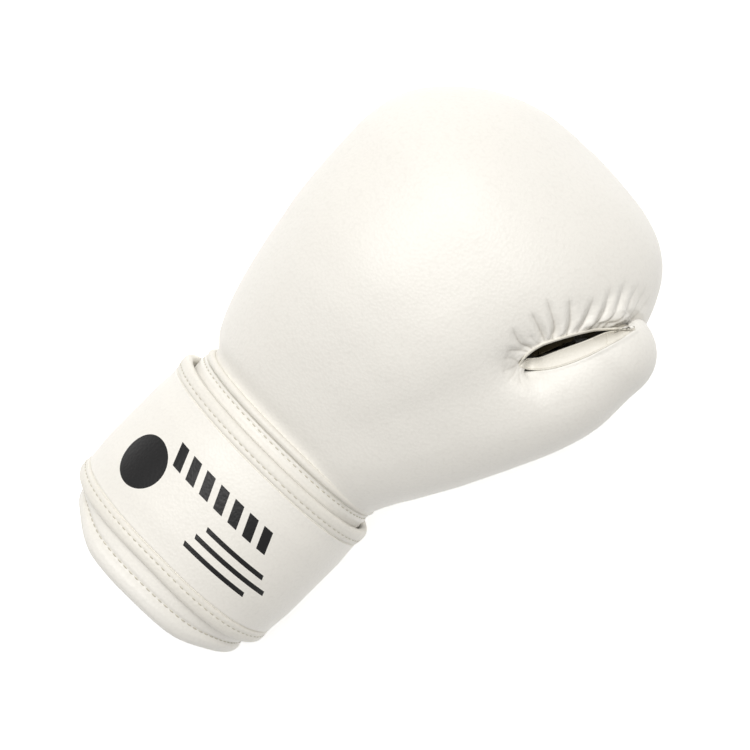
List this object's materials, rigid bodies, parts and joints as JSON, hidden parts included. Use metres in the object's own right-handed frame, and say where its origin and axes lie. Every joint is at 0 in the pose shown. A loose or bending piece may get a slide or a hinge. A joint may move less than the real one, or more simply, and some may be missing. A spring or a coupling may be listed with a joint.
{
  "type": "boxing glove",
  "caption": "Left-hand training glove with padded knuckles, a free thumb, a round cuff and a wide hook-and-loop wrist strap, lying on its little-finger side.",
  "frame": {"origin": "middle of the glove's box at its lowest face, the plane it lies on", "axes": "+X from the wrist to the knuckles, +Y to the back of the hand, +Z to the thumb side, which faces up"},
  "size_m": [0.2812, 0.169, 0.132],
  "materials": {
    "leather": "satin",
    "strap_leather": "satin",
    "trim": "matte",
    "foam": "matte",
    "lining": "matte",
    "hook_and_loop": "matte"
  },
  "bodies": {
    "glove": {"back_and_knuckle_shell": "leather", "back_foam": "foam", "cuff_foam": "foam", "cuff_lining": "lining", "cuff_piping": "trim", "cuff_rim_binding": "trim", "cuff_shell": "leather", "finger_panel": "leather", "grip_bar": "lining", "hand_lining": "lining", "knuckle_foam": "foam", "little_finger_side_foam": "foam", "loop_pad": "hook_and_loop", "palm_foam": "foam", "palm_panel": "leather", "side_panel": "leather", "strap_sewn_end_cover": "strap_leather", "strap_sewn_end_hand_edge": "trim", "strap_sewn_end_padding": "foam", "strap_sewn_end_wrist_edge": "trim", "thumb_side_foam": "foam", "thumb_tether": "trim"},
    "thumb": {"thumb_outer_panel": "leather", "thumb_inner_panel": "leather", "thumb_foam": "foam", "thumb_lining": "lining"},
    "strap_1": {"strap_1_cover": "strap_leather", "strap_1_hand_edge": "trim", "strap_1_padding": "foam", "strap_1_wrist_edge": "trim"},
    "strap_2": {"strap_2_cover": "strap_leather", "strap_2_hand_edge": "trim", "strap_2_padding": "foam", "strap_2_wrist_edge": "trim"},
    "strap_3": {"strap_3_cover": "strap_leather", "strap_3_hand_edge": "trim", "strap_3_padding": "foam", "strap_3_wrist_edge": "trim"},
    "strap_4": {"strap_4_cover": "strap_leather", "strap_4_hand_edge": "trim", "strap_4_padding": "foam", "strap_4_wrist_edge": "trim", "hook_pad": "hook_and_loop"}
  },
  "joints": [
    {"name": "thumb_flex", "type": "hinge", "parent": "glove", "child": "thumb", "pos_m": [0.05675, -0.07726, 0.10816], "axis": [0, -0.7071, -0.7071], "range_deg": [0, 6], "stiffness_Nm_per_rad": 1},
    {"name": "strap_bend_1", "type": "hinge", "parent": "glove", "child": "strap_1", "pos_m": [0.00035, -0.04866, 0.04558], "axis": [1, 0, 0], "range_deg": [0, 45]},
    {"name": "strap_bend_2", "type": "hinge", "parent": "strap_1", "child": "strap_2", "pos_m": [0.00035, -0.02759, 0.09262], "axis": [1, 0, 0], "range_deg": [0, 45]},
    {"name": "strap_bend_3", "type": "hinge", "parent": "strap_2", "child": "strap_3", "pos_m": [0.00035, 0.0209, 0.10218], "axis": [1, 0, 0], "range_deg": [0, 45]},
    {"name": "strap_bend_4", "type": "hinge", "parent": "strap_3", "child": "strap_4", "pos_m": [0.00035, 0.06204, 0.0721], "axis": [1, 0, 0], "range_deg": [0, 45]}
  ],
  "couplings": [
    {"joint": "strap_bend_2", "follows": "strap_bend_1", "ratio": 1},
    {"joint": "strap_bend_3", "follows": "strap_bend_1", "ratio": 1},
    {"joint": "strap_bend_4", "follows": "strap_bend_1", "ratio": 1}
  ]
}
